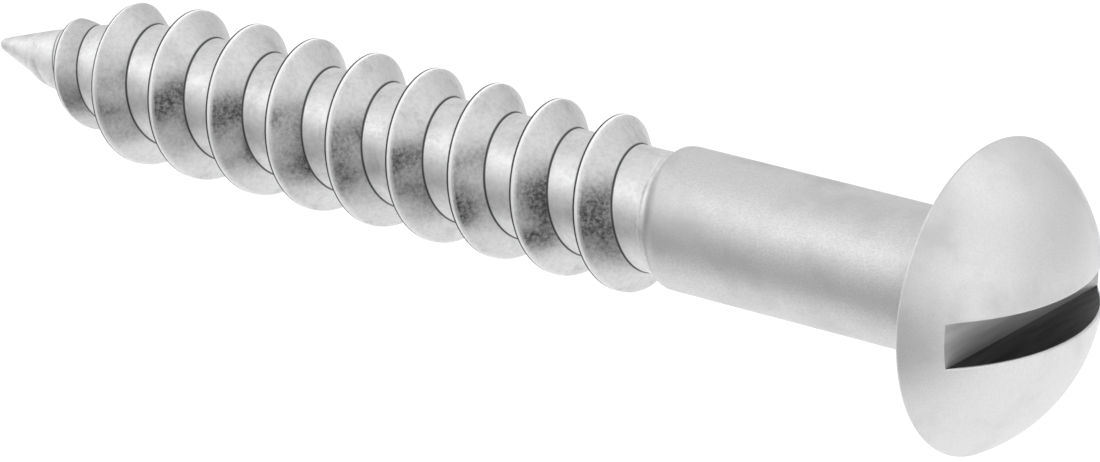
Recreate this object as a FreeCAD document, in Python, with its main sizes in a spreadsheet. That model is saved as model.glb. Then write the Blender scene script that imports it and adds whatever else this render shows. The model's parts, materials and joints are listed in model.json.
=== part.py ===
import FreeCAD, Part

# Slotted round-head wood screw, 4.8 x 35 mm nominal.
#
# Frame: the origin is the centre of the bearing face under the head, the
# screw's axis lies along X with the crown of the head towards +X and the
# point towards -X, and the driver slot runs along Y.  +Z is up.
#
# The real screw is one headed and rolled blank.  Its five regions are modelled
# as five solids that meet face to face: the slotted head with its neck, the
# plain shank, the threaded core, the gimlet point and the helical ridge.

import math
import os
from types import SimpleNamespace

import Sketcher

V = FreeCAD.Vector
doc = FreeCAD.newDocument("wood_screw")

# ---------------------------------------------------------------- dimensions
# Driving dimensions in millimetres, kept in the sheet.
SIZES = [
    ("screw_length", 35.3, "bearing face to the end of the point"),
    ("shank_length", 10.3, "bearing face to the end of the plain shank"),
    ("shank_diameter", 4.0, "plain shank"),
    ("shoulder_length", 0.8, "rounded end of the shank, beside the thread"),
    ("head_diameter", 8.7, "round head across the rim"),
    ("head_height", 2.7, "bearing face to the crown"),
    ("rim_edge", 0.12, "rounded edge of the rim, under the dome"),
    ("neck_length", 0.5, "stub of shank that belongs to the head"),
    ("neck_fillet", 0.35, "fillet between the neck and the bearing face"),
    ("slot_width", 1.25, "driver slot"),
    ("slot_depth", 1.6, "driver slot, down from the crown"),
    ("major_diameter", 4.8, "crest of the thread"),
    ("root_diameter", 3.4, "cylindrical core between the ridges"),
    ("thread_pitch", 2.2, "one turn of the single-start thread"),
    ("core_turns", 9.0, "turns of the ridge along the core"),
    ("point_turns", 1.7, "turns of the ridge on the point"),
    ("lead_angle", 16.7, "degrees that the ridge leans in on the point"),
    ("thread_gap", 0.1, "end of the shank to the end of the swept crest"),
    ("crest_width", 0.14, "flat on the crest, along the axis"),
    ("head_flank", 0.75, "run along the axis of the flank facing the head"),
    ("point_flank", 0.42, "run along the axis of the flank facing the point"),
    ("ridge_sink", 0.3, "depth of the swept ridge below the core's surface"),
    ("crest_margin", 0.05, "trimming outline outside the full crests"),
    ("runout_length", 1.1, "stretch where the ridge fades beside the shank"),
    ("point_length", 6.0, "tapered point, from the core to the tip"),
    ("cone_length", 2.7, "straight cone at the end of the point"),
    ("cone_diameter", 2.0, "width of the point where the straight cone ends"),
    ("tip_diameter", 0.16, "blunt end of the point"),
    ("bare_tip", 1.6, "tip to the start of the ridge"),
    ("first_crest", 2.9, "tip to the end of the ridge's straight rise"),
    ("first_crest_diameter", 2.7, "ridge at the end of its straight rise"),
    ("full_crest", 7.3, "tip to the first crest of full height"),
]

sheet = doc.addObject("Spreadsheet::Sheet", "sizes")
for row, (name, value, meaning) in enumerate(SIZES, start=1):
    sheet.set(f"A{row}", name)
    sheet.set(f"B{row}", str(value))
    sheet.set(f"C{row}", meaning)
    sheet.setAlias(f"B{row}", name)
doc.recompute()


class Length:
    """A length together with the sheet formula that gives it."""

    def __init__(self, value, formula):
        self.value = float(value)
        self.formula = formula

    def joined(self, sign, other, value):
        text = other.formula if isinstance(other, Length) else str(other)
        return Length(value, f"({self.formula} {sign} {text})")

    def __add__(self, other):
        return self.joined("+", other, self.value + number(other))

    def __sub__(self, other):
        return self.joined("-", other, self.value - number(other))

    def __mul__(self, other):
        return self.joined("*", other, self.value * number(other))

    def __truediv__(self, other):
        return self.joined("/", other, self.value / number(other))

    def __neg__(self):
        return self * -1


def number(length):
    return length.value if isinstance(length, Length) else float(length)


size = SimpleNamespace(
    **{name: Length(value, f"sizes.{name}") for name, value, _ in SIZES}
)

# Radii and stations along the axis that several regions share.
axis = Length(0, "0")
bearing_face = Length(0, "0")
shank_radius = size.shank_diameter / 2
root_radius = size.root_diameter / 2
major_radius = size.major_diameter / 2
head_radius = size.head_diameter / 2
neck_end = -size.neck_length
shank_end = -size.shank_length
tip = -size.screw_length
point_start = tip + size.point_length


# ------------------------------------------------------------------- helpers
H_AXIS, V_AXIS, ORIGIN = -1, -2, -1
START, END, CENTRE = 1, 2, 3


def new_body(label):
    body = doc.addObject("PartDesign::Body", label)
    body.Label = label
    return body


def new_sketch(body, name, role):
    """A sketch on one of the body's own origin planes."""
    plane = next(f for f in body.Origin.OriginFeatures if f.Role == role)
    sketch = body.newObject("Sketcher::SketchObject", name)
    sketch.AttachmentSupport = (plane, [""])
    sketch.MapMode = "FlatFace"
    return sketch


def bind(sketch, constraint, length):
    """Adds a dimension that follows its formula in the sheet."""
    index = sketch.addConstraint(constraint)
    sketch.setExpression(f"Constraints[{index}]", length.formula)


def pin(sketch, curve, end, x, y):
    """Holds one end of a curve at (x, y) from the sketch's origin."""
    for kind, length, line in (("DistanceX", x, V_AXIS), ("DistanceY", y, H_AXIS)):
        if length.formula == "0":
            on_axis = Sketcher.Constraint("PointOnObject", curve, end, line)
            sketch.addConstraint(on_axis)
        else:
            distance = Sketcher.Constraint(kind, ORIGIN, START, curve, end, length.value)
            bind(sketch, distance, length)


def draw_outline(sketch, corners, arcs=None):
    """A closed outline of lines through the corners, given as (x, y) lengths.

    arcs gives the centre and the sense (1 anticlockwise, -1 clockwise) of each
    side that is an arc; side 0 runs from corner 0 to corner 1.
    """
    arcs = arcs or {}
    count = len(corners)
    places = [V(x.value, y.value, 0) for x, y in corners]
    ends = []
    for side in range(count):
        start, end = places[side], places[(side + 1) % count]
        if side not in arcs:
            sketch.addGeometry(Part.LineSegment(start, end))
            ends.append((START, END))
            continue
        centre, sense = arcs[side]
        first, last = (start, end) if sense > 0 else (end, start)
        circle = Part.Circle(centre, V(0, 0, 1), (first - centre).Length)
        angles = [math.atan2(p.y - centre.y, p.x - centre.x) for p in (first, last)]
        sketch.addGeometry(Part.ArcOfCircle(circle, *angles))
        ends.append((START, END) if sense > 0 else (END, START))
    for side in range(count):
        after = (side + 1) % count
        meeting = (side, ends[side][1], after, ends[after][0])
        sketch.addConstraint(Sketcher.Constraint("Coincident", *meeting))
        pin(sketch, side, ends[side][0], *corners[side])


def revolve(body, sketch, name):
    """A full turn of the sketch about the screw's axis."""
    turned = body.newObject("PartDesign::Revolution", name)
    turned.Profile = sketch
    turned.ReferenceAxis = (sketch, ["H_Axis"])
    turned.Angle = 360
    return turned


def arc_centre_on_axis(on_rim, on_axis):
    """Centre, on the axis, of the arc through a rim point and an axis point."""
    rise = on_axis.value - on_rim[0].value
    radius = (on_rim[1].value ** 2 + rise ** 2) / (2 * rise)
    return V(on_axis.value - radius, 0, 0)


def tangent_arc_centre(on_line, far_end):
    """Centre of the arc that leaves a line along X at one point for another."""
    run = on_line[0].value - far_end[0].value
    drop = on_line[1].value - far_end[1].value
    radius = (run ** 2 + drop ** 2) / (2 * drop)
    return V(on_line[0].value, on_line[1].value - radius, 0)


# -------------------------------------------------------------- slotted head
def make_slotted_head():
    """Dome, rounded rim, flat bearing ring, neck and the driver slot."""
    body = new_body("slotted_head")
    profile = new_sketch(body, "head_profile", "XZ_Plane")
    crown = (size.head_height, axis)
    rim = (size.rim_edge, head_radius)
    under_rim = (bearing_face, head_radius - size.rim_edge)
    fillet_face = (bearing_face, shank_radius + size.neck_fillet)
    fillet_neck = (-size.neck_fillet, shank_radius)
    corners = [
        crown,
        rim,
        under_rim,
        fillet_face,
        fillet_neck,
        (neck_end, shank_radius),
        (neck_end, axis),
    ]
    dome_centre = arc_centre_on_axis(rim, size.head_height)
    edge_centre = V(rim[0].value, under_rim[1].value, 0)
    fillet_centre = V(fillet_neck[0].value, fillet_face[1].value, 0)
    arcs = {0: (dome_centre, 1), 1: (edge_centre, 1), 3: (fillet_centre, -1)}
    draw_outline(profile, corners, arcs)
    profile.addConstraint(Sketcher.Constraint("PointOnObject", 0, CENTRE, H_AXIS))
    bind(profile, Sketcher.Constraint("Radius", 1, size.rim_edge.value), size.rim_edge)
    fillet = Sketcher.Constraint("Radius", 3, size.neck_fillet.value)
    bind(profile, fillet, size.neck_fillet)
    revolve(body, profile, "head_turned")
    doc.recompute()
    whole = body.Shape.Volume

    slot = new_sketch(body, "slot_outline", "XZ_Plane")
    floor = size.head_height - size.slot_depth
    above = size.head_height + size.slot_depth
    half_width = size.slot_width / 2
    corners = [
        (floor, -half_width),
        (above, -half_width),
        (above, half_width),
        (floor, half_width),
    ]
    draw_outline(slot, corners)
    cut = body.newObject("PartDesign::Pocket", "driver_slot")
    cut.Profile = slot
    cut.Type = "ThroughAll"
    cut.Midplane = True
    doc.recompute()
    if body.Shape.Volume > whole - size.slot_width.value * size.slot_depth.value:
        raise RuntimeError("the driver slot cut nothing")
    return body


# --------------------------------------------------------------------- shank
def make_shank():
    """Plain shank, rounded down to the root of the thread at its end."""
    body = new_body("shank")
    profile = new_sketch(body, "shank_profile", "XZ_Plane")
    shoulder = (shank_end + size.shoulder_length, shank_radius)
    root = (shank_end, root_radius)
    corners = [
        (neck_end, axis),
        (neck_end, shank_radius),
        shoulder,
        root,
        (shank_end, axis),
    ]
    draw_outline(profile, corners, {2: (tangent_arc_centre(shoulder, root), 1)})
    profile.addConstraint(Sketcher.Constraint("Vertical", 2, CENTRE, 2, START))
    revolve(body, profile, "shank_turned")
    return body


# ------------------------------------------------------------- threaded core
def make_threaded_core():
    """The cylinder that the ridge stands on."""
    core = doc.addObject("Part::Cylinder", "threaded_core")
    core.Label = "threaded_core"
    core.setExpression("Radius", root_radius.formula)
    core.setExpression("Height", (point_start * -1 - size.shank_length).formula)
    core.Placement = FreeCAD.Placement(V(), FreeCAD.Rotation(V(0, 1, 0), 90))
    core.setExpression("Placement.Base.x", point_start.formula)
    return core


# -------------------------------------------------------------- gimlet point
def make_gimlet_point():
    """Rounded taper from the core to a straight cone with a blunt tip."""
    body = new_body("gimlet_point")
    profile = new_sketch(body, "point_profile", "XZ_Plane")
    core_end = (point_start, root_radius)
    cone_start = (tip + size.cone_length, size.cone_diameter / 2)
    corners = [
        (point_start, axis),
        core_end,
        cone_start,
        (tip, size.tip_diameter / 2),
        (tip, axis),
    ]
    draw_outline(profile, corners, {1: (tangent_arc_centre(core_end, cone_start), 1)})
    profile.addConstraint(Sketcher.Constraint("Vertical", 1, CENTRE, 1, START))
    revolve(body, profile, "point_turned")
    return body


# -------------------------------------------------------------- thread ridge
def draw_ridge_section(body, name, crest):
    """The ridge's section, with its foot a little below the core's surface."""
    section = new_sketch(body, name, "XZ_Plane")
    half_crest = size.crest_width / 2
    height = major_radius - root_radius
    reach = (height + size.ridge_sink) / height
    foot = root_radius - size.ridge_sink
    corners = [
        (crest - half_crest - size.point_flank * reach, foot),
        (crest + half_crest + size.head_flank * reach, foot),
        (crest + half_crest, major_radius),
        (crest - half_crest, major_radius),
    ]
    draw_outline(section, corners)
    return section


def sweep_ridge(body, name, section, turns):
    """A right-handed sweep of the section about the screw's axis."""
    helix = body.newObject("PartDesign::AdditiveHelix", name)
    helix.Profile = section
    helix.ReferenceAxis = (section, ["H_Axis"])
    helix.Mode = "pitch-turns-angle"
    helix.setExpression("Pitch", size.thread_pitch.formula)
    helix.setExpression("Turns", turns.formula)
    return helix


def make_swept_ridge():
    """The ridge along the core, and its narrowing start on the point."""
    body = new_body("swept_ridge")
    crest = shank_end - size.thread_gap - size.thread_pitch * size.core_turns
    along_core = draw_ridge_section(body, "core_section", crest)
    sweep_ridge(body, "core_sweep", along_core, size.core_turns)
    on_point = draw_ridge_section(body, "point_section", crest)
    lead = sweep_ridge(body, "point_sweep", on_point, size.point_turns)
    lead.Reversed = True
    lead.setExpression("Angle", (-size.lead_angle).formula)
    return body


def make_crest_envelope():
    """The outer shape that the crests follow, from bare tip to run-out."""
    body = new_body("crest_envelope")
    profile = new_sketch(body, "envelope_profile", "XZ_Plane")
    clear_of_crests = major_radius + size.crest_margin
    ridge_end = shank_end - size.thread_gap
    first = (tip + size.first_crest, size.first_crest_diameter / 2)
    full = (tip + size.full_crest, clear_of_crests)
    corners = [
        (tip + size.bare_tip, axis),
        first,
        full,
        (ridge_end - size.runout_length, clear_of_crests),
        (ridge_end, root_radius),
        (ridge_end, axis),
    ]
    draw_outline(profile, corners, {1: (tangent_arc_centre(full, first), -1)})
    profile.addConstraint(Sketcher.Constraint("Vertical", 1, CENTRE, 1, START))
    revolve(body, profile, "envelope_turned")
    # The seam of this round body would run along the joins between the ridge's
    # turns, where a boolean fails, so the body is turned a quarter about X.
    body.Placement = FreeCAD.Placement(V(), FreeCAD.Rotation(V(1, 0, 0), 90))
    return body


def make_thread_ridge(core, point):
    """What the envelope leaves of the swept ridge, outside core and point."""
    trimmed = doc.addObject("Part::Common", "trimmed_ridge")
    trimmed.Base = make_swept_ridge()
    trimmed.Tool = make_crest_envelope()
    around_core = doc.addObject("Part::Cut", "ridge_around_core")
    around_core.Base = trimmed
    around_core.Tool = core
    ridge = doc.addObject("Part::Cut", "thread_ridge")
    ridge.Label = "thread_ridge"
    ridge.Base = around_core
    ridge.Tool = point
    return ridge


# ------------------------------------------------------------------ assembly
threaded_core = make_threaded_core()
gimlet_point = make_gimlet_point()
NODES = [
    make_slotted_head(),
    make_shank(),
    threaded_core,
    gimlet_point,
    make_thread_ridge(threaded_core, gimlet_point),
]
doc.recompute()

for item in doc.Objects:
    if "Invalid" in item.State or "Error" in item.State:
        raise RuntimeError(f"{item.Label} failed: {item.State}")

os.makedirs("parts", exist_ok=True)
for node in NODES:
    if node.Shape.isNull() or not node.Shape.isValid():
        raise RuntimeError(f"{node.Label} has no valid shape")
    node.Shape.exportStep(f"parts/{node.Label}.step")
    box = node.Shape.BoundBox
    print(
        f"{node.Label}: {len(node.Shape.Solids)} solid, {node.Shape.Volume:.2f} mm3, "
        f"x {box.XMin:.2f}..{box.XMax:.2f}, widest {2 * max(box.YMax, box.ZMax):.2f}"
    )
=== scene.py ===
# %% [markdown]
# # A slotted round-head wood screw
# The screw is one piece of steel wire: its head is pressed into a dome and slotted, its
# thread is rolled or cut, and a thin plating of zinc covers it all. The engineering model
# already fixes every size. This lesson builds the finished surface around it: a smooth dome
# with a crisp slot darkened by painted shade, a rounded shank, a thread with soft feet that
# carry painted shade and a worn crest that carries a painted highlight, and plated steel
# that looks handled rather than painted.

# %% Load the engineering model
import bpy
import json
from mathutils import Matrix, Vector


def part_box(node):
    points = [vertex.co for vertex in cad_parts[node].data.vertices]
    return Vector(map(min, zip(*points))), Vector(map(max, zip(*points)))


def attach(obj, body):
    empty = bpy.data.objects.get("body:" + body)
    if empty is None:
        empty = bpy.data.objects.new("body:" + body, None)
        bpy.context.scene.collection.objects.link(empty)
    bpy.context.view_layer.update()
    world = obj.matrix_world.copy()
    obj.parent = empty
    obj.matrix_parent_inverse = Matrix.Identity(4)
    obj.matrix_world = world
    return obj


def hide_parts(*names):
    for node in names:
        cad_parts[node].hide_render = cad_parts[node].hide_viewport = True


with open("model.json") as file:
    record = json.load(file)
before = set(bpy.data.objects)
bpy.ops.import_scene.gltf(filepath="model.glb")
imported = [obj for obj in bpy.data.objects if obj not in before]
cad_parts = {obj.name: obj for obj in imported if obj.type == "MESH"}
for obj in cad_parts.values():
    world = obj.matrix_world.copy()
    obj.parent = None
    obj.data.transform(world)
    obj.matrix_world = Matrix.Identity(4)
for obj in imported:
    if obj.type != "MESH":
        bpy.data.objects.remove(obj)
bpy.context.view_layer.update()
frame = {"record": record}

# %% [markdown]
# ## Sizes
# Everything is drawn in millimetres first, because the tools that round corners lose accuracy
# on shapes a few hundredths of a thousandth of a metre wide. The sizes of the regions are read
# from the engineering model, so the finished pieces cannot drift away from it.

# %% Read the sizes of the regions
import json
import math

import bmesh
import bpy
from mathutils import Matrix, Vector

MM = 0.001


def region(node):
    """The ends along the screw's axis and the outer radius of one region, in millimetres."""
    low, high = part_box(node)
    # the smaller of the two radii, so that no facet of the new piece passes the old one
    return low.x / MM, high.x / MM, min(high.y, high.z) / MM


neck_end, _, head_radius = region("slotted_head")
shank_end, _, shank_radius = region("shank")
_, _, root_radius = region("threaded_core")
tip, point_start, _ = region("gimlet_point")
_, ridge_end, crest_radius = region("thread_ridge")
mounts = {mount["name"]: mount for mount in frame["record"]["mounts"]}
slot_floor = mounts["driver_slot"]["pos_m"][0] / MM
print("head radius", round(head_radius, 3), "shank", round(shank_radius, 3))
print("root", round(root_radius, 3), "crest", round(crest_radius, 3))
print("slot floor above the bearing face", round(slot_floor, 3))

# %% [markdown]
# ## Drawing a profile
# A turned shape is easiest to draw as half an outline, which is then spun about the screw's
# axis. Straight runs are made by extruding a point, and arcs by spinning a point about the
# centre of the arc. Both leave their edges behind them, so the outline grows as one chain.


# %% Helpers for outlines and turned shapes
TOUCHING = 1e-4  # points nearer than this, in millimetres, are the same point
CUT_TOLERANCE = 1e-5  # points nearer to a cutting plane than this lie in it


def start_outline(x, radius):
    """A new mesh that holds the first point of an outline."""
    shape = bmesh.new()
    return shape, shape.verts.new((x, 0, radius))


def line_to(shape, point, x, radius):
    """Extrudes the last point of the outline to a new place."""
    end = bmesh.ops.extrude_vert_indiv(shape, verts=[point])["verts"][0]
    end.co = (x, 0, radius)
    return end


def arc_to(shape, point, centre_x, centre_radius, degrees, steps):
    """Spins the last point of the outline about the centre of an arc."""
    made = bmesh.ops.spin(
        shape,
        geom=[point],
        cent=(centre_x, 0, centre_radius),
        axis=(0, 1, 0),
        angle=math.radians(degrees),
        steps=steps,
    )
    return next(g for g in made["geom_last"] if isinstance(g, bmesh.types.BMVert))


def turn(shape, steps):
    """Spins the outline a full turn about the screw's axis and closes the seam and poles."""
    bmesh.ops.spin(
        shape,
        geom=shape.verts[:] + shape.edges[:],
        cent=(0, 0, 0),
        axis=(1, 0, 0),
        angle=math.tau,
        steps=steps,
        use_merge=True,
    )
    bmesh.ops.remove_doubles(shape, verts=shape.verts[:], dist=TOUCHING)
    bmesh.ops.recalc_face_normals(shape, faces=shape.faces[:])


def slice_at(shape, x=0.0, z=0.0, facing=(1, 0, 0), drop_outer=False):
    """Cuts the mesh along a plane, and can drop what lies beyond it."""
    return bmesh.ops.bisect_plane(
        shape,
        geom=shape.verts[:] + shape.edges[:] + shape.faces[:],
        dist=CUT_TOLERANCE,
        plane_co=(x, 0, z),
        plane_no=facing,
        clear_outer=drop_outer,
    )


# %% [markdown]
# ## From millimetres to a finished object
# Each piece ends the same way: its doubles are merged, its faces are turned outwards, and it
# is scaled to metres inside the mesh, so the object itself stays at the origin, unturned and
# unscaled. Edges that meet at a real corner are marked sharp, and the rest are shaded smooth.


# %% Helper that finishes a piece
SHARP_ANGLE = 32  # degrees between faces, above which an edge is a real corner


def finish_piece(shape, name, *nodes):
    """Turns the drawn shape into an object that stands for the named regions."""
    bmesh.ops.scale(shape, vec=(MM, MM, MM), verts=shape.verts[:])
    mesh = bpy.data.meshes.new(name)
    shape.to_mesh(mesh)
    shape.free()
    mesh.set_sharp_from_angle(angle=math.radians(SHARP_ANGLE))
    piece = bpy.data.objects.new(name, mesh)
    bpy.context.scene.collection.objects.link(piece)
    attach(piece, "root")
    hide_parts(*nodes)
    sides = [round(side / MM, 3) for side in piece.dimensions]
    print(name, "faces", len(mesh.polygons), "size in mm", sides)
    return piece


# %% [markdown]
# ## The head
# The head is a dome over a flat bearing ring, with a small rounded edge between them and a
# short neck under it. The dome is one arc whose centre lies on the axis. A subdivided sphere
# would need its lower half cut away and would leave a pole beside the slot, so the outline is
# turned instead, which puts the rings of the mesh exactly round the rim.

# %% Turn the head
HEAD_STEPS = 160  # points round the rim
DOME_RINGS, RIM_RINGS, FILLET_RINGS = 40, 6, 8
CROWN = 2.7  # bearing face to the crown, before the slot is cut
RIM_EDGE = 0.12  # radius of the rounded edge of the rim
NECK_FILLET = 0.35  # radius of the fillet under the head

rise = CROWN - RIM_EDGE
dome_radius = (head_radius**2 + rise**2) / (2 * rise)
dome_centre = CROWN - dome_radius
dome_angle = math.degrees(math.asin(head_radius / dome_radius))

head, pen = start_outline(CROWN, 0)
pen = arc_to(head, pen, dome_centre, 0, -dome_angle, DOME_RINGS)
pen = arc_to(head, pen, RIM_EDGE, head_radius - RIM_EDGE, -90, RIM_RINGS)
pen = line_to(head, pen, 0, shank_radius + NECK_FILLET)
pen = arc_to(head, pen, -NECK_FILLET, shank_radius + NECK_FILLET, 90, FILLET_RINGS)
pen = line_to(head, pen, neck_end, shank_radius)
pen = line_to(head, pen, neck_end, 0)
turn(head, HEAD_STEPS)
print("dome radius in mm", round(dome_radius, 3), "faces", len(head.faces))

# %% [markdown]
# ## The driver slot
# The slot is sawn right across the dome with a flat floor. A boolean would do it, but it
# leaves ragged faces that cannot be rounded. Here planes slice the dome along both walls and
# along the floor, the faces between them are dropped, and the cut edges are extruded down to
# the floor. A few more slices beside each wall give the sawn edge rows of points, which sink a
# little along a quarter of a circle, as the edge does when the plating has rounded it.

# %% Cut the slot
SLOT_HALF = 0.625  # half the slot's width
EDGE_ROUND = 0.07  # how far the rounded edge reaches from the wall
EDGE_SLICES = (0, 0.1, 0.25, 0.5, 0.75, 1)  # places of the slices, as shares of the round

for side in (-1, 1):
    for share in EDGE_SLICES:
        place = side * (SLOT_HALF + share * EDGE_ROUND)
        slice_at(head, z=place, facing=(0, 0, 1))
slice_at(head, x=slot_floor)

inside = [
    face
    for face in head.faces
    if face.calc_center_median().x > slot_floor
    and abs(face.calc_center_median().z) < SLOT_HALF
]
bmesh.ops.delete(head, geom=inside, context="FACES")
print("faces dropped for the slot", len(inside))

# %% Round the slot's edges
ROUND_FADE = 0.25  # height above the floor over which the round fades out

rounded = 0
for point in head.verts:
    reach = abs(point.co.z) - SLOT_HALF
    if not (point.co.x > slot_floor and -TOUCHING < reach < EDGE_ROUND):
        continue
    away = 1 - max(reach, 0) / EDGE_ROUND
    sink = EDGE_ROUND * (1 - math.sqrt(1 - away**2))
    sink *= min((point.co.x - slot_floor) / ROUND_FADE, 1)
    flat = Vector((point.co.x - dome_centre, point.co.y, 0))
    point.co -= flat.normalized() * sink
    rounded += 1
print("points moved to round the edges", rounded)

# %% Build the slot's walls and floor
WALL_FINISH, FLOOR_FINISH = 1, 2  # material slots of the sawn faces
ON_PLANE = 1e-3  # points nearer than this, in millimetres, lie in the wall or the floor


def in_floor_line(point):
    """True for a point where a wall meets the floor."""
    on_floor = abs(point.co.x - slot_floor) < ON_PLANE
    return on_floor and abs(abs(point.co.z) - SLOT_HALF) < ON_PLANE


wall_edges = [
    edge
    for edge in head.edges
    if edge.is_boundary and any(v.co.x > slot_floor + TOUCHING for v in edge.verts)
]
made = bmesh.ops.extrude_edge_only(head, edges=wall_edges)["geom"]
for part in made:
    if isinstance(part, bmesh.types.BMVert):
        part.co.x = slot_floor
bmesh.ops.remove_doubles(head, verts=head.verts[:], dist=TOUCHING)
floor_lines = [
    edge for edge in head.edges if edge.is_boundary and all(map(in_floor_line, edge.verts))
]
bmesh.ops.bridge_loops(head, edges=floor_lines)
open_edges = [edge for edge in head.edges if edge.is_boundary]
bmesh.ops.holes_fill(head, edges=open_edges, sides=0)
bmesh.ops.recalc_face_normals(head, faces=head.faces[:])
print("edges where the walls meet the floor", len(floor_lines))

# %% Tell the sawn faces from the dome
for face in head.faces:
    face.smooth = True
    at = face.calc_center_median()
    if at.x >= slot_floor - TOUCHING and abs(at.z) <= SLOT_HALF + TOUCHING:
        on_floor = abs(at.x - slot_floor) < ON_PLANE
        face.material_index = FLOOR_FINISH if on_floor else WALL_FINISH
        face.smooth = False
print("open edges left", sum(edge.is_boundary for edge in head.edges))
screw_head = finish_piece(head, "screw_head", "slotted_head")

# %% [markdown]
# ## The shank
# The plain shank keeps the diameter of the drawn wire. Beside the thread its end is rounded
# off to the thinner core of the thread. That end is one more arc of the outline, and a small
# crease at its foot catches the light like the real one. A perfectly square shoulder would
# look machined, so its rings are moved a little along the axis after they are turned, more
# on one side than on the other. The thread gets the same lean later, so both still meet.

# %% Helper that leans the shoulder
LEAN = 0.4  # how far the shoulder leans towards the head at the front
SET_BACK = 0.22  # how far all of it moves towards the point
LEAN_REACH = 1.6  # the lean fades out over this length on either side


def ease(share):
    """0 to 1 with a soft start and end."""
    share = min(max(share, 0.0), 1.0)
    return share * share * (3 - 2 * share)


def lean_shoulder(shape):
    """Leans the rings beside the shank's end, which the thread's tool left askew."""
    for point in shape.verts:
        near = ease(1 - abs(point.co.x - shank_end) / LEAN_REACH)
        point.co.x -= near * (SET_BACK + LEAN * point.co.y / shank_radius)


# %% Turn the shank
SHANK_STEPS = 160  # points round the shank
SHANK_RINGS = 4  # stretches along the plain part
SHOULDER_RINGS = 14
SHOULDER = 0.5  # length of the rounded end
SHOULDER_LIFT = 0.01  # the shoulder's foot stands this much above the root of the thread
CREASE = 0.03  # depth of the crease below the root
CREASE_REACH = 0.035  # half the width of the crease

shoulder_foot = root_radius + SHOULDER_LIFT
drop = shank_radius - shoulder_foot
shoulder_round = (SHOULDER**2 + drop**2) / (2 * drop)
shoulder_angle = math.degrees(math.asin(SHOULDER / shoulder_round))
shoulder_start = shank_end + CREASE_REACH + SHOULDER

shank, pen = start_outline(neck_end, 0)
pen = line_to(shank, pen, neck_end, shank_radius)
for ring in range(1, SHANK_RINGS + 1):
    place = neck_end + ring / SHANK_RINGS * (shoulder_start - neck_end)
    pen = line_to(shank, pen, place, shank_radius)
shoulder_centre = shank_radius - shoulder_round
pen = arc_to(shank, pen, shoulder_start, shoulder_centre, -shoulder_angle, SHOULDER_RINGS)
pen = line_to(shank, pen, shank_end, root_radius - CREASE)
pen = line_to(shank, pen, shank_end, 0)
turn(shank, SHANK_STEPS)
lean_shoulder(shank)
for face in shank.faces:
    face.smooth = True
plain_shank = finish_piece(shank, "plain_shank", "shank")

# %% [markdown]
# ## The thread
# The thread is a single right-handed ridge. Its flank towards the head is long and slanted,
# its flank towards the point is steeper, and a strip of core as wide as both shows between
# the turns. One pitch of that outline is drawn, its corners are rounded, and it is spun about
# the axis while it moves along it, so every turn is the same. A Screw modifier would do the
# same for the cylindrical part, but the ridge also has to fade at both ends, which is easier
# on real points: their distance from the axis is changed afterwards.

# %% Draw one pitch of the thread
PITCH = 2.2
CREST_LAND = 0.14  # flat on the crest, along the axis
HEAD_FLANK = 0.66  # run along the axis of the flank towards the head
POINT_FLANK = 0.42  # run along the axis of the flank towards the point

half_land = CREST_LAND / 2
stations = [
    (-PITCH / 2, root_radius),
    (-half_land - POINT_FLANK, root_radius),
    (-half_land, crest_radius),
    (half_land, crest_radius),
    (half_land + HEAD_FLANK, root_radius),
    (PITCH / 2, root_radius),
]
thread, pen = start_outline(*stations[0])
corners = [pen]
for station in stations[1:]:
    pen = line_to(thread, pen, *station)
    corners.append(pen)
print("corners of the outline", len(corners))

# %% Round the corners and cut the long edges
FOOT_ROUND, FOOT_STEPS = 0.05, 3
CREST_ROUND, CREST_STEPS = 0.025, 2
LONG_EDGE, LONG_CUTS = 0.25, 8  # edges longer than this are cut this often
LAND_CUTS = 5  # cuts in each edge of the flat on the crest


def soften(points, reach, steps):
    """Rounds corners of the outline."""
    bmesh.ops.bevel(
        thread,
        geom=points,
        offset=reach,
        affect="VERTICES",
        segments=steps,
        profile=0.5,
        material=-1,
    )


soften([corners[1], corners[4]], FOOT_ROUND, FOOT_STEPS)
soften([corners[2], corners[3]], CREST_ROUND, CREST_STEPS)
long_edges = [edge for edge in thread.edges if edge.calc_length() > LONG_EDGE]
bmesh.ops.subdivide_edges(thread, edges=long_edges, cuts=LONG_CUTS)
land_edges = [
    edge for edge in thread.edges if all(v.co.z > crest_radius - ON_PLANE for v in edge.verts)
]
bmesh.ops.subdivide_edges(thread, edges=land_edges, cuts=LAND_CUTS)
print("points in one pitch", len(thread.verts))

# %% [markdown]
# The finish has to know where it is on the thread, because the feet of the ridge and the
# crest's edge towards the point carry painted shade, and its crest is worn bright and carries a
# painted highlight. Each point of the outline gets that as three numbers before it is spun, and
# the spin carries them to every turn. A fourth number, the distance from the crest, tells later
# where the crest of that turn stands, so the ridge can fade along it.

# %% Mark the crest, the feet and the long flank
CREST_SPLIT = -0.005  # painted shadow on the crest's edge towards the point, worn steel with a painted highlight beyond
CREST_SPILL = 0.02  # how far the painted shadow reaches past the edge
BRIGHT_BAND_START, BRIGHT_BAND_FADE = 0.01, 0.04  # the bright band on the crest, worn and painted as a highlight, ends beside the edge towards the head
HEAD_FOOT_REACH, POINT_FOOT_REACH = 0.065, 0.12  # half widths of the painted shade lines in the feet
FLANK_FADE = 0.08  # the stains begin over this length

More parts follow.
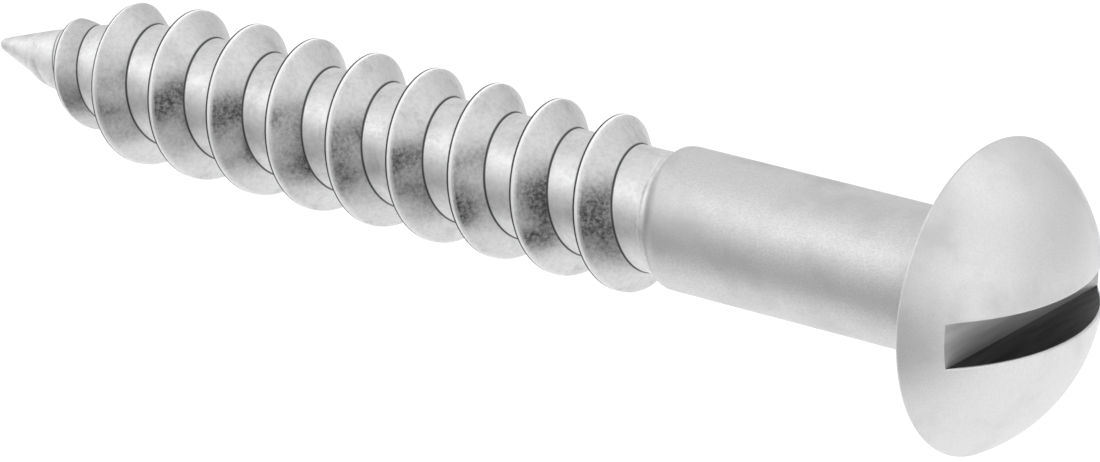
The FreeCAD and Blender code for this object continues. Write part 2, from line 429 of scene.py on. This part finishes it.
crest_mark = thread.verts.layers.float.new("crest")
foot_shade_mark = thread.verts.layers.float.new("foot")
flank_mark = thread.verts.layers.float.new("flank")
station_mark = thread.verts.layers.float.new("station")  # distance from the crest
point_foot = -half_land - POINT_FLANK
head_foot = half_land + HEAD_FLANK
for point in thread.verts:
    x = point.co.x
    point[station_mark] = x
    # the crest's edge towards the point gets a painted shadow, and both feet of the ridge get
    # lines of painted shade
    shadow_side = x < CREST_SPLIT
    past_crest = max(0.0, x - half_land + BRIGHT_BAND_START)
    crest_edge_shadow = 1.0 if shadow_side and x > -half_land - CREST_SPILL else 0.0
    near_head_foot = 1 - abs(x - head_foot) / HEAD_FOOT_REACH
    near_point_foot = 1 - abs(x - point_foot) / POINT_FOOT_REACH
    point[crest_mark] = 0.0 if shadow_side else max(0.0, 1 - past_crest / BRIGHT_BAND_FADE)
    point[foot_shade_mark] = max(0.0, crest_edge_shadow, near_head_foot, near_point_foot)
    point[flank_mark] = min(1.0, past_crest / FLANK_FADE) if x < head_foot else 0.0
print("marks", thread.verts.layers.float.keys())

# %% Spin the thread along the screw
THREAD_STEPS = 96  # points in one turn
SEAM = 1e-3  # turns meet within this distance

turns = math.ceil((shank_end - tip) / PITCH) + 2
first_crest = shank_end - PITCH * (turns - 1)
bmesh.ops.translate(thread, vec=(first_crest, 0, 0), verts=thread.verts[:])
bmesh.ops.spin(
    thread,
    geom=thread.verts[:] + thread.edges[:],
    cent=(0, 0, 0),
    axis=(1, 0, 0),
    dvec=(PITCH / THREAD_STEPS, 0, 0),
    angle=math.tau,
    steps=THREAD_STEPS,
)
one_turn = thread.verts[:] + thread.edges[:] + thread.faces[:]
for count in range(1, turns):
    copy = bmesh.ops.duplicate(thread, geom=one_turn)["geom"]
    copied = [g for g in copy if isinstance(g, bmesh.types.BMVert)]
    bmesh.ops.translate(thread, vec=(count * PITCH, 0, 0), verts=copied)
bmesh.ops.remove_doubles(thread, verts=thread.verts[:], dist=SEAM)
print("turns", turns, "faces", len(thread.faces))

# %% [markdown]
# ## The gimlet point
# Towards its end the core narrows along a rounded taper to a small blunt nose, and the ridge
# grows out of it. At the shank the ridge sinks back into the core within a quarter of a turn.
# Both are done by one rule for each point: the radius of the body there, plus the height that
# the point stood above the root, times how much of the ridge is left at that place.

# %% Taper the body and the ridge
TIP_RADIUS = 0.05  # flat at the very end
FULLNESS = 1.3  # 1 is a straight cone, more is rounder
NOSE = 0.15  # length of the rounded nose at the very end
NOSE_SWELL = 0.08  # how much the nose swells beyond a plain taper
NOSE_SLICES = (0.08, 0.25, 0.5, 0.75, 1)  # rings that the nose needs, as shares of it
RUNOUT = 0.5  # the crest sinks over this length
SUNK = 0.5  # and is gone this far before the shank
BARE_TIP = 1.6  # stretch of the point without a ridge
GROWTH = 4.1  # stretch over which the ridge reaches its full height
GROWTH_CURVE = 0.9  # 1 grows evenly, less grows faster at first
taper = point_start - tip


def body_radius(x):
    """Radius of the core and of the rounded point at a place along the axis."""
    if x >= point_start:
        return root_radius
    share = max(0.0, (x - tip) / taper)
    fullness = 1 - (1 - share) ** FULLNESS
    nose = NOSE_SWELL * (1 - share) * math.sqrt(min(share * taper / NOSE, 1))
    return TIP_RADIUS + fullness * (root_radius - TIP_RADIUS) + nose


def ridge_growth(x):
    """How far the ridge has grown out of the point at a place along the axis."""
    return min(max((x - tip - BARE_TIP) / GROWTH, 0.0), 1.0) ** GROWTH_CURVE


def ridge_fade(crest_x):
    """How much of the ridge is left where its crest stands beside the shank."""
    return ease((ridge_end - SUNK - crest_x) / RUNOUT)


# %% Trim the thread and give it its taper
MARKS_FULL_GROWTH, MARKS_FULL_FADE = 2, 1.5  # the marks reach full strength before the ridge

slice_at(thread, x=shank_end, drop_outer=True)
slice_at(thread, x=tip, facing=(-1, 0, 0), drop_outer=True)
for share in NOSE_SLICES:
    slice_at(thread, x=tip + share * NOSE)
for point in thread.verts:
    x, out = point.co.x, Vector((0, point.co.y, point.co.z))
    height = out.length - root_radius
    growth, fade = ridge_growth(x), ridge_fade(x - point[station_mark])
    left = growth * fade
    point.co = Vector((x, 0, 0)) + out.normalized() * (body_radius(x) + height * left)
    for mark in (crest_mark, foot_shade_mark, flank_mark):
        point[mark] *= min(1.0, MARKS_FULL_GROWTH * growth) * min(1.0, MARKS_FULL_FADE * fade)
print("points of the thread after trimming", len(thread.verts))

# %% [markdown]
# ## The collar
# The tool that formed the thread has pressed a narrow collar between two creases beside the
# shank. The creases are only a few hundredths of a millimetre deep, but they catch the light.
# The mesh of the thread is too coarse for them, so it is sliced across where they lie.

# %% Press the collar's creases and close both ends
COLLAR = 0.17  # distance from the shank's end to the second crease
CREASE_SLICES = (-1, -0.5, 0, 0.5, 1)  # rings of one crease, as shares of its reach

creases = (shank_end, shank_end - COLLAR)
for centre in creases:
    for share in CREASE_SLICES:
        slice_at(thread, x=centre + share * CREASE_REACH)
for point in thread.verts:
    near = max(1 - abs(point.co.x - centre) / CREASE_REACH for centre in creases)
    if near > 0:
        out = Vector((0, point.co.y, point.co.z)).normalized()
        point.co -= out * CREASE * near
lean_shoulder(thread)
open_edges = [edge for edge in thread.edges if edge.is_boundary]
bmesh.ops.holes_fill(thread, edges=open_edges, sides=0)
bmesh.ops.recalc_face_normals(thread, faces=thread.faces[:])
for face in thread.faces:
    face.smooth = True
print("open edges left", sum(edge.is_boundary for edge in thread.edges))
threaded_point = finish_piece(
    thread, "threaded_point", "threaded_core", "gimlet_point", "thread_ridge"
)

# %% [markdown]
# ## Plated steel
# Zinc plating is a bright, slightly grey metal. It is not a mirror: under the plating the
# steel keeps the fine grain of the wire, the coating is a little cloudy, and it is duller
# where it is thick. A single grey with one roughness would look like plastic, so colour,
# roughness and bump each get their own pattern, all measured on the object itself so they
# stay where they are when it is turned.


# %% Helpers for building a finish
PER_MM = 1000  # object coordinates are in metres, and patterns are counted per millimetre


class Finish:
    """A metal material whose nodes are added one at a time."""

    def __init__(self, name, colour, roughness):
        self.material = bpy.data.materials.new(name)
        self.material.use_nodes = True
        self.nodes = self.material.node_tree.nodes
        self.links = self.material.node_tree.links
        self.shader = self.nodes["Principled BSDF"]
        self.shader.inputs["Base Color"].default_value = (*colour, 1)
        self.shader.inputs["Metallic"].default_value = 1.0
        self.shader.inputs["Roughness"].default_value = roughness
        self.place = self.nodes.new("ShaderNodeTexCoord").outputs["Object"]

    def noise(self, scale, detail, stretch=(1, 1, 1), roughness=0.55):
        """A cloudy pattern, with its size in patches per millimetre."""
        mapping = self.nodes.new("ShaderNodeMapping")
        mapping.inputs["Scale"].default_value = tuple(s * PER_MM for s in stretch)
        self.links.new(self.place, mapping.inputs["Vector"])
        texture = self.nodes.new("ShaderNodeTexNoise")
        texture.inputs["Scale"].default_value = scale
        texture.inputs["Detail"].default_value = detail
        texture.inputs["Roughness"].default_value = roughness
        self.links.new(mapping.outputs["Vector"], texture.inputs["Vector"])
        return texture.outputs["Fac"]

    def spread(self, value, low, high, to_low=0.0, to_high=1.0):
        """Stretches a range of values onto another."""
        node = self.nodes.new("ShaderNodeMapRange")
        node.interpolation_type = "SMOOTHSTEP"
        node.inputs["From Min"].default_value = low
        node.inputs["From Max"].default_value = high
        node.inputs["To Min"].default_value = to_low
        node.inputs["To Max"].default_value = to_high
        self.links.new(value, node.inputs["Value"])
        return node.outputs["Result"]

    def combine(self, how, first, second):
        """Adds, multiplies or compares two values; either may be a plain number."""
        node = self.nodes.new("ShaderNodeMath")
        node.operation = how
        for socket, value in zip(node.inputs, (first, second)):
            if isinstance(value, (int, float)):
                socket.default_value = value
            else:
                self.links.new(value, socket)
        return node.outputs["Value"]

    def mark(self, name):
        """A number that the mesh carries at each point."""
        node = self.nodes.new("ShaderNodeAttribute")
        node.attribute_name = name
        return node.outputs["Fac"]

    def blend(self, share, first, second):
        """Mixes two colours by a pattern."""
        node = self.nodes.new("ShaderNodeMix")
        node.data_type = "RGBA"
        self.links.new(share, node.inputs["Factor"])
        for socket, value in ((node.inputs["A"], first), (node.inputs["B"], second)):
            if isinstance(value, tuple):
                socket.default_value = (*value, 1)
            else:
                self.links.new(value, socket)
        return node.outputs["Result"]

    def bump(self, height, depth, strength=1.0):
        """Raises the surface by a pattern, with its depth in millimetres."""
        node = self.nodes.new("ShaderNodeBump")
        node.inputs["Distance"].default_value = depth * MM
        node.inputs["Strength"].default_value = strength
        self.links.new(height, node.inputs["Height"])
        self.links.new(node.outputs["Normal"], self.shader.inputs["Normal"])

    def set(self, socket, value):
        """Links a pattern to one of the shader's own sockets."""
        self.links.new(value, self.shader.inputs[socket])


CLEAN = (0.90, 0.90, 0.905)  # plating of the thread
BRIGHT = (0.80, 0.80, 0.805)  # plating of the head and the shank
DULL = (0.64, 0.64, 0.645)  # where the plating is thick
DARK_STAIN_AND_SHADE = (0.09, 0.09, 0.093)  # stains, and the painted shade and painted dark reflection on the thread
RUBBED_HIGHLIGHT = (0.95, 0.95, 0.95)  # the worn crest with its painted highlight

# %% [markdown]
# ### Finish of the head
# The dome is the smoothest part. The punch that formed it leaves it nearly even, with a
# few dull clouds and a very fine frosted grain.

# %% Head finish
dome = Finish("plated_dome", BRIGHT, 0.5)
clouds = dome.spread(dome.noise(0.55, 4), 0.45, 0.75, 0, 0.7)
grain = dome.noise(22, 2)
dome_colour = dome.blend(clouds, BRIGHT, DULL)
dome.set("Base Color", dome.blend(dome.spread(grain, 0.35, 0.75, 0, 0.4), dome_colour, DULL))
dome.set("Roughness", dome.spread(clouds, 0, 1, 0.5, 0.58))
dome.bump(grain, 0.006, 0.6)
screw_head.data.materials.append(dome.material)
print("nodes in the dome's finish", len(dome.nodes))

# %% [markdown]
# ### Finish of the slot
# The saw leaves fine lines along the slot. Its walls are rough and painted near-black as
# painted shade in the narrow slot, and its floor, which faces outwards, is painted a lighter
# grey, a milder painted shade.

# %% Slot finish
def sawn_shaded_finish(name, dark, light):
    """Grey steel with fine saw lines along the slot, darkened as painted shade."""
    finish = Finish(name, dark, 0.5)
    lines = finish.noise(3, 3, stretch=(1, 0.12, 1))
    finish.set("Base Color", finish.blend(finish.spread(lines, 0.3, 0.7), dark, light))
    finish.bump(lines, 0.01, 0.6)
    screw_head.data.materials.append(finish.material)


# painted shade in the slot: near-black walls and a middle grey floor
sawn_shaded_finish("slot_walls_painted_shade", (0.07, 0.07, 0.07), (0.13, 0.13, 0.13))
sawn_shaded_finish("slot_floor", (0.44, 0.44, 0.44), (0.56, 0.56, 0.56))
print("finishes of the head", screw_head.data.materials.keys())

# %% [markdown]
# ### Finish of the shank
# The wire was drawn through a die, so its grain runs along the shank. The plating breaks it
# up into short, faint specks.

# %% Shank finish
drawn = Finish("plated_shank", BRIGHT, 0.38)
specks = drawn.noise(22, 3, stretch=(0.6, 1, 1))
cloud = drawn.spread(drawn.noise(0.5, 4), 0.42, 0.75)
drawn_colour = drawn.blend(cloud, BRIGHT, DULL)
drawn.set(
    "Base Color", drawn.blend(drawn.spread(specks, 0.3, 0.75, 0, 0.6), drawn_colour, DULL)
)
drawn.set("Roughness", drawn.spread(specks, 0.3, 0.7, 0.5, 0.6))
drawn.bump(specks, 0.005, 0.5)
plain_shank.data.materials.append(drawn.material)
print("nodes in the shank's finish", len(drawn.nodes))

# %% [markdown]
# ### Finish of the thread
# The feet of the ridge carry lines of painted shade, and the crest's edge towards the point a
# painted shadow. The long flank is stained in clouds, and along the front, at middle height, it
# is darkened further as a painted dark reflection. The crest is worn bright and carries a
# painted highlight. The marks made on the outline say where each of these belongs, and noise
# breaks the stains up into clouds and specks.

# %% Thread finish: the front band of painted dark reflection, which also holds the stains
BAND_FULL, BAND_GONE = 0.4, 1.8  # heights from the middle, either way, in millimetres
FRONT_FULL, FRONT_LIGHT = -1.6, 0.2  # from the front towards the back, in millimetres

rolled = Finish("plated_thread", CLEAN, 0.44)
axes = rolled.nodes.new("ShaderNodeSeparateXYZ")
rolled.links.new(rolled.place, axes.inputs["Vector"])
# painted dark reflection: the stains are strongest and the flank darkest along the front at
# middle height, and faint elsewhere
from_middle = rolled.combine("ABSOLUTE", axes.outputs["Z"], 0)
beside_middle = rolled.spread(from_middle, BAND_FULL * MM, BAND_GONE * MM, 1, 0)
front = rolled.spread(axes.outputs["Y"], FRONT_FULL * MM, FRONT_LIGHT * MM, 1, 0.35)
stain_and_reflection_side = rolled.spread(rolled.combine("MULTIPLY", beside_middle, front), 0, 1, 0.1, 1)

# %% Thread finish: clouds of stain
patches = rolled.spread(rolled.noise(0.5, 1.5), 0.34, 0.62, 0.3, 1)
speckle = rolled.spread(rolled.noise(9, 3, roughness=0.7), 0.15, 0.85, 0.5, 1)
blotches = rolled.combine("MULTIPLY", patches, speckle)
smudge = rolled.combine("MULTIPLY", blotches, rolled.mark("flank"))
flank_stain_and_reflection = rolled.combine("MULTIPLY", smudge, stain_and_reflection_side)
haze = rolled.spread(rolled.noise(1.1, 6, roughness=0.7), 0.4, 0.75, 0, 0.22)
mottle = rolled.spread(rolled.noise(7, 4, roughness=0.7), 0.35, 0.75, 0, 0.12)
cast = rolled.combine("ADD", rolled.combine("MULTIPLY", rolled.mark("flank"), 0.12), mottle)
stain_and_reflection = rolled.combine("ADD", rolled.combine("MAXIMUM", flank_stain_and_reflection, haze), cast)

# %% Thread finish: painted shade in the feet, worn crest with a painted highlight
# painted shade: dark lines in the feet of the ridge and a painted shadow on the crest's edge
# towards the point
foot_shade_line = rolled.spread(rolled.mark("foot"), 0.15, 0.8, 0, 1)
shade = rolled.combine("MAXIMUM", stain_and_reflection, foot_shade_line)
# the stains, the painted shade and the painted dark reflection all darken the plating here
stained_and_shaded = rolled.blend(shade, CLEAN, DARK_STAIN_AND_SHADE)
# painted highlight along the worn crest: a brighter colour and less metal, so it stays white
# under the diffuse light
crest_wear_and_highlight = rolled.spread(rolled.mark("crest"), 0.3, 0.9)
thread_grain = rolled.noise(12, 3)
rolled.set("Base Color", rolled.blend(crest_wear_and_highlight, stained_and_shaded, RUBBED_HIGHLIGHT))
rolled.set("Metallic", rolled.spread(crest_wear_and_highlight, 0, 1, 1, 0.35))
rolled.set("Roughness", rolled.spread(thread_grain, 0.3, 0.7, 0.48, 0.6))
rolled.bump(thread_grain, 0.005, 0.5)
threaded_point.data.materials.append(rolled.material)
print("finishes", [m.name for m in bpy.data.materials])

# %% [markdown]
# ## Table and light
# A white table under and behind the screw keeps everything pale. The room in front of the
# table is darker, and that is what draws the dark band along the lower half of every round
# surface. A large soft light above the left shoulder gives the broad highlight, and a narrow
# strip beside it gives it a brighter core. The other lights reach the point, the dome and
# the side of the head. Where the viewer looks straight at the table it is plain white, so
# its edge does not draw a line.

# %% White table
TABLE_DROP = 0.03  # metres from the screw's axis down to the table
TABLE_HALF_WIDTH, TABLE_HALF_DEPTH = 0.5, 0.3
TABLE_SETBACK = 0.27  # the middle of the table stands this far behind the screw
PURE_WHITE = 1.1  # a little over white, so that nothing shows as grey

mesh = bpy.data.meshes.new("table")
shape = bmesh.new()
bmesh.ops.create_grid(shape, x_segments=1, y_segments=1, size=1)
bmesh.ops.scale(shape, vec=(TABLE_HALF_WIDTH, TABLE_HALF_DEPTH, 1), verts=shape.verts[:])
bmesh.ops.translate(shape, vec=(0, TABLE_SETBACK, -TABLE_DROP), verts=shape.verts[:])
shape.to_mesh(mesh)
shape.free()
table = bpy.data.objects.new("table", mesh)
bpy.context.scene.collection.objects.link(table)
print("table in metres", [round(side, 2) for side in table.dimensions])

# %% Paper of the table
paper = bpy.data.materials.new("white_paper")
paper.use_nodes = True
nodes, links = paper.node_tree.nodes, paper.node_tree.links
sheet = nodes["Principled BSDF"]
sheet.inputs["Base Color"].default_value = (0.9, 0.9, 0.9, 1)
sheet.inputs["Roughness"].default_value = 0.9
glow = nodes.new("ShaderNodeEmission")
glow.inputs["Strength"].default_value = PURE_WHITE
seen = nodes.new("ShaderNodeLightPath").outputs["Is Camera Ray"]
mixer = nodes.new("ShaderNodeMixShader")
links.new(seen, mixer.inputs["Fac"])
links.new(sheet.outputs["BSDF"], mixer.inputs[1])
links.new(glow.outputs["Emission"], mixer.inputs[2])
links.new(mixer.outputs["Shader"], nodes["Material Output"].inputs["Surface"])
table.data.materials.append(paper)
print("table finish", paper.name)

# %% Room
LOW_LIGHT, HIGH_LIGHT = 0.26, 0.74  # brightness of the room below and above the table
HORIZON_BLEND = 0.35  # how softly one turns into the other

world = bpy.data.worlds.new("room")
bpy.context.scene.world = world
world.use_nodes = True
nodes, links = world.node_tree.nodes, world.node_tree.links
room = nodes["Background"]
direction = nodes.new("ShaderNodeTexCoord").outputs["Generated"]
split = nodes.new("ShaderNodeSeparateXYZ")
links.new(direction, split.inputs["Vector"])
height = nodes.new("ShaderNodeMapRange")
height.interpolation_type = "SMOOTHSTEP"
height.inputs["From Min"].default_value = -HORIZON_BLEND
height.inputs["From Max"].default_value = HORIZON_BLEND
height.inputs["To Min"].default_value = LOW_LIGHT
height.inputs["To Max"].default_value = HIGH_LIGHT
links.new(split.outputs["Z"], height.inputs["Value"])
links.new(height.outputs["Result"], room.inputs["Strength"])
room.inputs["Color"].default_value = (1, 1, 1, 1)
backdrop = nodes.new("ShaderNodeBackground")
backdrop.inputs["Color"].default_value = (1, 1, 1, 1)
backdrop.inputs["Strength"].default_value = PURE_WHITE
seen = nodes.new("ShaderNodeLightPath").outputs["Is Camera Ray"]
mixer = nodes.new("ShaderNodeMixShader")
links.new(seen, mixer.inputs["Fac"])
links.new(room.outputs["Background"], mixer.inputs[1])
links.new(backdrop.outputs["Background"], mixer.inputs[2])
links.new(mixer.outputs["Shader"], nodes["World Output"].inputs["Surface"])
print("brightness of the room", LOW_LIGHT, "to", HIGH_LIGHT)


# %% Soft lights
SCREW_MIDDLE = (-0.016, 0, 0)


def soft_light(name, place, width, height, power, aim=SCREW_MIDDLE):
    """A rectangular light; sizes in metres, power in watts."""
    lamp = bpy.data.lights.new(name, "AREA")
    lamp.shape = "RECTANGLE"
    lamp.size, lamp.size_y = width, height
    lamp.energy = power
    holder = bpy.data.objects.new(name, lamp)
    bpy.context.scene.collection.objects.link(holder)
    holder.location = place
    towards = Vector(aim) - Vector(place)
    holder.rotation_euler = towards.to_track_quat("-Z", "Y").to_euler()
    return holder


soft_light("key_light", (-0.20, -0.22, 0.22), 0.30, 0.18, 0.11)
soft_light("strip_light", (-0.19, -0.17, 0.17), 0.30, 0.02, 0.04)
soft_light("side_light", (0.30, -0.12, 0.06), 0.30, 0.30, 0.17)
soft_light("point_light", (-0.35, 0.0, 0.04), 0.25, 0.25, 0.12)
soft_light("head_light", (0.15, 0.12, 0.33), 0.30, 0.30, 0.15)
table_light = soft_light(
    "table_light", (0.0, 0.25, 0.40), 0.5, 0.4, 0.9, aim=(0, 0.1, -TABLE_DROP)
)
table_light.visible_glossy = False  # it whitens the table without showing in the metal
print("lights", [lamp.name for lamp in bpy.data.lights])

# %% [markdown]
# ## Camera
# A long lens some way off keeps the screw from stretching towards the viewer. The camera
# stands in front of the screw, on the side of the head, and looks down a little, so that
# the dome, its slot and the whole thread show at once.

# %% Place the camera
VIEW_AZIMUTH = math.radians(38.36)
VIEW_ELEVATION = math.radians(21.27)
VIEW_TILT = math.radians(-1.35)  # roll of the camera
LENS = 209.4  # focal length in millimetres
AIM_RIGHT, AIM_UP = -11.60, 1.72  # middle of the picture, in millimetres from the head
DISTANCE = 169.4  # from the head to the camera, in millimetres
CLIP_START, CLIP_END = 0.01, 5  # the camera sees nothing nearer or farther, in metres

level = Vector((math.cos(VIEW_AZIMUTH), math.sin(VIEW_AZIMUTH), 0))
back = Vector(
    (
        math.sin(VIEW_AZIMUTH) * math.cos(VIEW_ELEVATION),
        -math.cos(VIEW_AZIMUTH) * math.cos(VIEW_ELEVATION),
        math.sin(VIEW_ELEVATION),
    )
)
right = level * math.cos(VIEW_TILT) + back.cross(level) * math.sin(VIEW_TILT)
up = back.cross(right)
camera_data = bpy.data.cameras.new("camera")
camera_data.lens = LENS
camera_data.clip_start = CLIP_START
camera_data.clip_end = CLIP_END
camera = bpy.data.objects.new("camera", camera_data)
bpy.context.scene.collection.objects.link(camera)
camera.location = (AIM_RIGHT * right + AIM_UP * up + DISTANCE * back) * MM
camera.rotation_euler = Matrix((right, up, back)).transposed().to_euler()
bpy.context.scene.camera = camera
bpy.context.scene.view_settings.view_transform = "Standard"
print("camera in mm from the head", [round(part / MM, 1) for part in camera.location])
